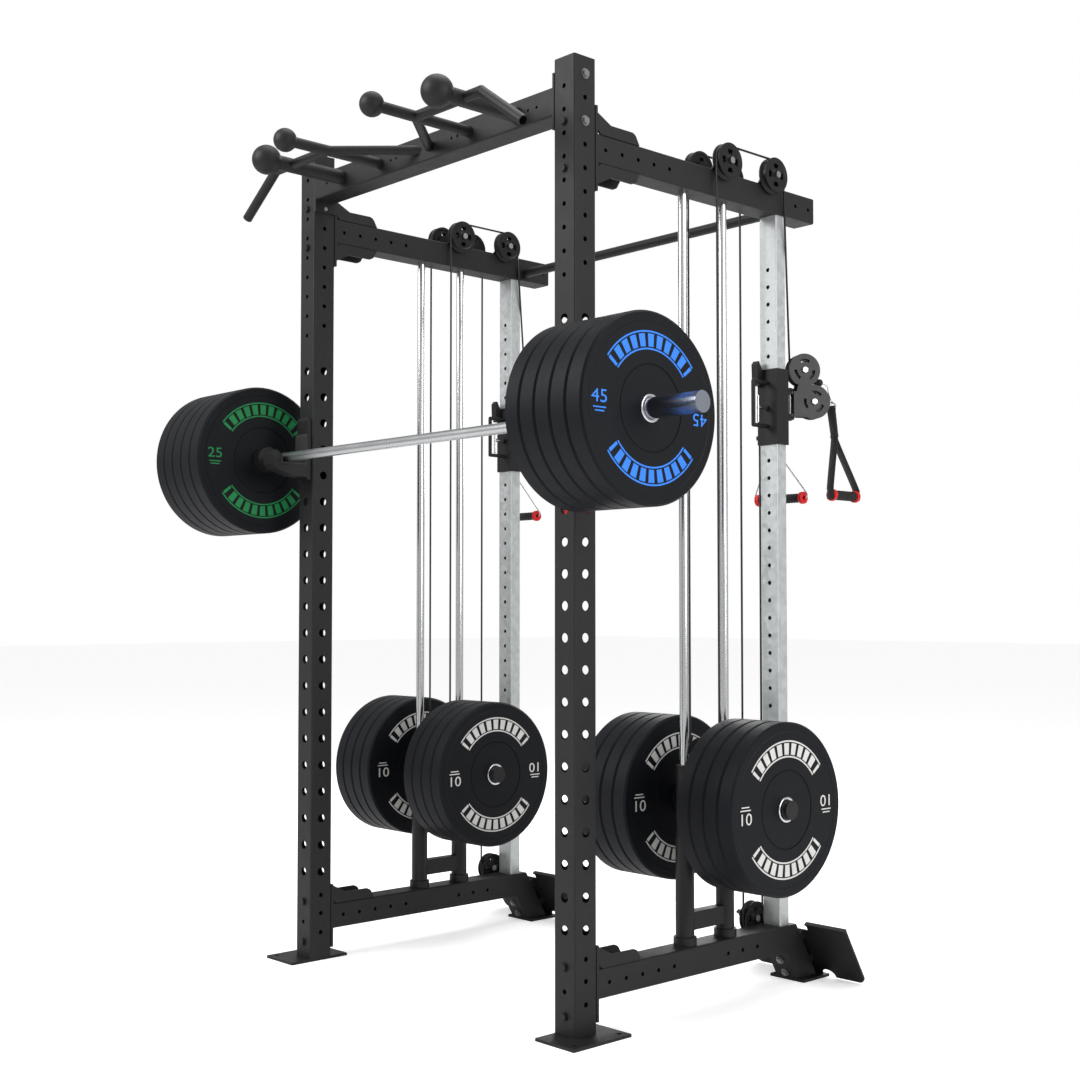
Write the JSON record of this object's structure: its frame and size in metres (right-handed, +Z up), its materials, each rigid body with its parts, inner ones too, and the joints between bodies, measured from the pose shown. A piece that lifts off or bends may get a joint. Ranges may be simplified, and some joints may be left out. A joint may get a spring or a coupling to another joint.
{
  "type": "power cage",
  "caption": "Power cage with multi-grip pull-up bar, plate-loaded cable columns with sliding trolleys, J-cups and a loaded barbell.",
  "frame": {"origin": "on the floor under the middle of the whole part", "axes": "+X to the right-hand upright seen from the front, +Y from the uprights to the cable columns, +Z up"},
  "size_m": [2.2, 1.4945, 2.45],
  "materials": {
    "black_powder": "satin black powder coat",
    "black_steel": "satin black paint",
    "galvanised": "galvanised",
    "chrome": "polished",
    "zinc": "bright zinc",
    "plastic": "matte black",
    "liner": "matte dark grey",
    "cable": "black coated cable",
    "plate_rubber": "fine matte",
    "grey_steel": "satin grey",
    "web": "woven webbing",
    "grip": "matte grip with red ends",
    "wire": "zinc wire"
  },
  "bodies": {
    "frame": {"uprights": "black_powder", "pull_up_bar": "black_powder", "side_beams": "black_powder", "beam_brackets": "black_powder", "rear_cross_tube": "black_steel", "trolley_columns": "galvanised", "guide_rods": "chrome", "carriage_posts": "black_steel", "rear_legs": "black_steel", "foot_plates": "black_steel", "pulley_mounts": "black_steel", "frame_bolts": "zinc", "j_cups": "black_steel", "j_cup_liners": "liner", "frame_cables": "cable"},
    "barbell": {"bar_shaft": "chrome"},
    "bar_end_left": {"bar_sleeve_left": "chrome", "bar_plates_left": "plate_rubber"},
    "carriage_left": {"carriage_left": "black_steel", "carriage_plates_left": "plate_rubber", "carriage_cable_left": "cable"},
    "trolley_left": {"trolley_left": "black_steel", "trolley_cable_upper_left": "cable", "trolley_cable_lower_left": "cable"},
    "trolley_pin_left": {"trolley_pin_left": "chrome"},
    "swivel_left": {"swivel_left": "grey_steel", "cable_end_left": "cable"},
    "strap_handle_left": {"strap_webbing_left": "web", "strap_grip_left": "grip"},
    "bail_handle_left": {"bail_handle_left": "wire"},
    "pulley_outer_front_left": {"pulley_outer_front_left": "plastic"},
    "pulley_outer_rear_left": {"pulley_outer_rear_left": "plastic"},
    "pulley_inner_front_left": {"pulley_inner_front_left": "plastic"},
    "pulley_inner_rear_left": {"pulley_inner_rear_left": "plastic"},
    "pulley_low_left": {"pulley_low_left": "plastic"},
    "pulley_carriage_left": {"pulley_carriage_left": "plastic"},
    "pulley_swivel_top_left": {"pulley_swivel_top_left": "plastic"},
    "pulley_swivel_low_left": {"pulley_swivel_low_left": "plastic"},
    "bar_end_right": {"bar_sleeve_right": "chrome", "bar_plates_right": "plate_rubber"},
    "carriage_right": {"carriage_right": "black_steel", "carriage_plates_right": "plate_rubber", "carriage_cable_right": "cable"},
    "trolley_right": {"trolley_right": "black_steel", "trolley_cable_upper_right": "cable", "trolley_cable_lower_right": "cable"},
    "trolley_pin_right": {"trolley_pin_right": "chrome"},
    "swivel_right": {"swivel_right": "grey_steel", "cable_end_right": "cable"},
    "strap_handle_right": {"strap_webbing_right": "web", "strap_grip_right": "grip"},
    "bail_handle_right": {"bail_handle_right": "wire"},
    "pulley_outer_front_right": {"pulley_outer_front_right": "plastic"},
    "pulley_outer_rear_right": {"pulley_outer_rear_right": "plastic"},
    "pulley_inner_front_right": {"pulley_inner_front_right": "plastic"},
    "pulley_inner_rear_right": {"pulley_inner_rear_right": "plastic"},
    "pulley_low_right": {"pulley_low_right": "plastic"},
    "pulley_carriage_right": {"pulley_carriage_right": "plastic"},
    "pulley_swivel_top_right": {"pulley_swivel_top_right": "plastic"},
    "pulley_swivel_low_right": {"pulley_swivel_low_right": "plastic"}
  },
  "joints": [
    {"name": "barbell_lift", "type": "slide", "parent": "frame", "child": "barbell", "axis": [0, 0, 1], "range_m": [0, 0.06]},
    {"name": "bar_end_spin_left", "type": "hinge", "parent": "barbell", "child": "bar_end_left", "pos_m": [-0.8, -0.47075, 1.51455], "axis": [1, 0, 0], "continuous": true},
    {"name": "carriage_lift_left", "type": "slide", "parent": "frame", "child": "carriage_left", "axis": [0, 0, 1], "range_m": [0, 1.2], "deforming": ["carriage_cable_left"]},
    {"name": "trolley_slide_left", "type": "slide", "parent": "frame", "child": "trolley_left", "axis": [0, 0, 1], "range_m": [-1.1, 0.35], "deforming": ["trolley_cable_upper_left", "trolley_cable_lower_left"]},
    {"name": "trolley_pin_pull_left", "type": "slide", "parent": "trolley_left", "child": "trolley_pin_left", "axis": [0, -1, 0], "range_m": [0, 0.008], "stiffness_N_per_m": 900, "springref_m": -0.006},
    {"name": "swivel_turn_left", "type": "hinge", "parent": "trolley_left", "child": "swivel_left", "pos_m": [-0.5725, 0.51525, 1.636], "axis": [0, 0, 1], "range_deg": [-60, 50]},
    {"name": "strap_swing_left", "type": "hinge", "parent": "swivel_left", "child": "strap_handle_left", "pos_m": [-0.50665, 0.62931, 1.648], "axis": [1, 0, 0], "range_deg": [-15, 60]},
    {"name": "bail_swing_left", "type": "hinge", "parent": "trolley_left", "child": "bail_handle_left", "pos_m": [-0.625, 0.49625, 1.538], "axis": [1, 0, 0], "range_deg": [-10, 60]},
    {"name": "pulley_outer_front_left_spin", "type": "hinge", "parent": "frame", "child": "pulley_outer_front_left", "pos_m": [-0.52, 0.17825, 2.2875], "axis": [1, 0, 0], "continuous": true},
    {"name": "pulley_outer_rear_left_spin", "type": "hinge", "parent": "frame", "child": "pulley_outer_rear_left", "pos_m": [-0.52, 0.37825, 2.2875], "axis": [1, 0, 0], "continuous": true},
    {"name": "pulley_inner_front_left_spin", "type": "hinge", "parent": "frame", "child": "pulley_inner_front_left", "pos_m": [-0.625, 0.17825, 2.2875], "axis": [1, 0, 0], "continuous": true},
    {"name": "pulley_inner_rear_left_spin", "type": "hinge", "parent": "frame", "child": "pulley_inner_rear_left", "pos_m": [-0.625, 0.31125, 2.2875], "axis": [1, 0, 0], "continuous": true},
    {"name": "pulley_low_left_spin", "type": "hinge", "parent": "frame", "child": "pulley_low_left", "pos_m": [-0.625, 0.39825, 0.18], "axis": [1, 0, 0], "continuous": true},
    {"name": "pulley_carriage_left_spin", "type": "hinge", "parent": "carriage_left", "child": "pulley_carriage_left", "pos_m": [-0.5725, 0.13325, 0.6518], "axis": [0, 1, 0], "continuous": true},
    {"name": "pulley_swivel_top_left_spin", "type": "hinge", "parent": "swivel_left", "child": "pulley_swivel_top_left", "pos_m": [-0.5525, 0.54989, 1.753], "axis": [0.866, -0.5, 0], "continuous": true},
    {"name": "pulley_swivel_low_left_spin", "type": "hinge", "parent": "swivel_left", "child": "pulley_swivel_low_left", "pos_m": [-0.5382, 0.57466, 1.661], "axis": [0.866, -0.5, 0], "continuous": true},
    {"name": "bar_end_spin_right", "type": "hinge", "parent": "barbell", "child": "bar_end_right", "pos_m": [0.8, -0.47075, 1.51455], "axis": [1, 0, 0], "continuous": true},
    {"name": "carriage_lift_right", "type": "slide", "parent": "frame", "child": "carriage_right", "axis": [0, 0, 1], "range_m": [0, 1.2], "deforming": ["carriage_cable_right"]},
    {"name": "trolley_slide_right", "type": "slide", "parent": "frame", "child": "trolley_right", "axis": [0, 0, 1], "range_m": [-1.1, 0.35], "deforming": ["trolley_cable_upper_right", "trolley_cable_lower_right"]},
    {"name": "trolley_pin_pull_right", "type": "slide", "parent": "trolley_right", "child": "trolley_pin_right", "axis": [0, -1, 0], "range_m": [0, 0.008], "stiffness_N_per_m": 900, "springref_m": -0.006},
    {"name": "swivel_turn_right", "type": "hinge", "parent": "trolley_right", "child": "swivel_right", "pos_m": [0.5725, 0.51525, 1.636], "axis": [0, 0, 1], "range_deg": [-60, 50]},
    {"name": "strap_swing_right", "type": "hinge", "parent": "swivel_right", "child": "strap_handle_right", "pos_m": [0.63835, 0.62931, 1.648], "axis": [1, 0, 0], "range_deg": [-15, 60]},
    {"name": "bail_swing_right", "type": "hinge", "parent": "trolley_right", "child": "bail_handle_right", "pos_m": [0.52, 0.49625, 1.538], "axis": [1, 0, 0], "range_deg": [-10, 60]},
    {"name": "pulley_outer_front_right_spin", "type": "hinge", "parent": "frame", "child": "pulley_outer_front_right", "pos_m": [0.625, 0.17825, 2.2875], "axis": [1, 0, 0], "continuous": true},
    {"name": "pulley_outer_rear_right_spin", "type": "hinge", "parent": "frame", "child": "pulley_outer_rear_right", "pos_m": [0.625, 0.37825, 2.2875], "axis": [1, 0, 0], "continuous": true},
    {"name": "pulley_inner_front_right_spin", "type": "hinge", "parent": "frame", "child": "pulley_inner_front_right", "pos_m": [0.52, 0.17825, 2.2875], "axis": [1, 0, 0], "continuous": true},
    {"name": "pulley_inner_rear_right_spin", "type": "hinge", "parent": "frame", "child": "pulley_inner_rear_right", "pos_m": [0.52, 0.31125, 2.2875], "axis": [1, 0, 0], "continuous": true},
    {"name": "pulley_low_right_spin", "type": "hinge", "parent": "frame", "child": "pulley_low_right", "pos_m": [0.52, 0.39825, 0.18], "axis": [1, 0, 0], "continuous": true},
    {"name": "pulley_carriage_right_spin", "type": "hinge", "parent": "carriage_right", "child": "pulley_carriage_right", "pos_m": [0.5725, 0.13325, 0.6518], "axis": [0, 1, 0], "continuous": true},
    {"name": "pulley_swivel_top_right_spin", "type": "hinge", "parent": "swivel_right", "child": "pulley_swivel_top_right", "pos_m": [0.5925, 0.54989, 1.753], "axis": [0.866, -0.5, 0], "continuous": true},
    {"name": "pulley_swivel_low_right_spin", "type": "hinge", "parent": "swivel_right", "child": "pulley_swivel_low_right", "pos_m": [0.6068, 0.57466, 1.661], "axis": [0.866, -0.5, 0], "continuous": true}
  ],
  "couplings": [
    {"joint": "pulley_outer_front_left_spin", "follows": "carriage_lift_left", "rad_per_m": -44.444},
    {"joint": "pulley_outer_rear_left_spin", "follows": "carriage_lift_left", "rad_per_m": -44.444},
    {"joint": "pulley_inner_front_left_spin", "follows": "trolley_slide_left", "rad_per_m": -22.222},
    {"joint": "pulley_inner_rear_left_spin", "follows": "trolley_slide_left", "rad_per_m": -22.222},
    {"joint": "pulley_low_left_spin", "follows": "trolley_slide_left", "rad_per_m": 23.809},
    {"joint": "pulley_carriage_left_spin", "follows": "carriage_lift_left", "rad_per_m": -19.048},
    {"joint": "pulley_swivel_top_left_spin", "follows": "carriage_lift_left", "rad_per_m": 50},
    {"joint": "pulley_outer_front_right_spin", "follows": "carriage_lift_right", "rad_per_m": -44.444},
    {"joint": "pulley_outer_rear_right_spin", "follows": "carriage_lift_right", "rad_per_m": -44.444},
    {"joint": "pulley_inner_front_right_spin", "follows": "trolley_slide_right", "rad_per_m": -22.222},
    {"joint": "pulley_inner_rear_right_spin", "follows": "trolley_slide_right", "rad_per_m": -22.222},
    {"joint": "pulley_low_right_spin", "follows": "trolley_slide_right", "rad_per_m": 23.809},
    {"joint": "pulley_carriage_right_spin", "follows": "carriage_lift_right", "rad_per_m": -19.048},
    {"joint": "pulley_swivel_top_right_spin", "follows": "carriage_lift_right", "rad_per_m": 50}
  ]
}
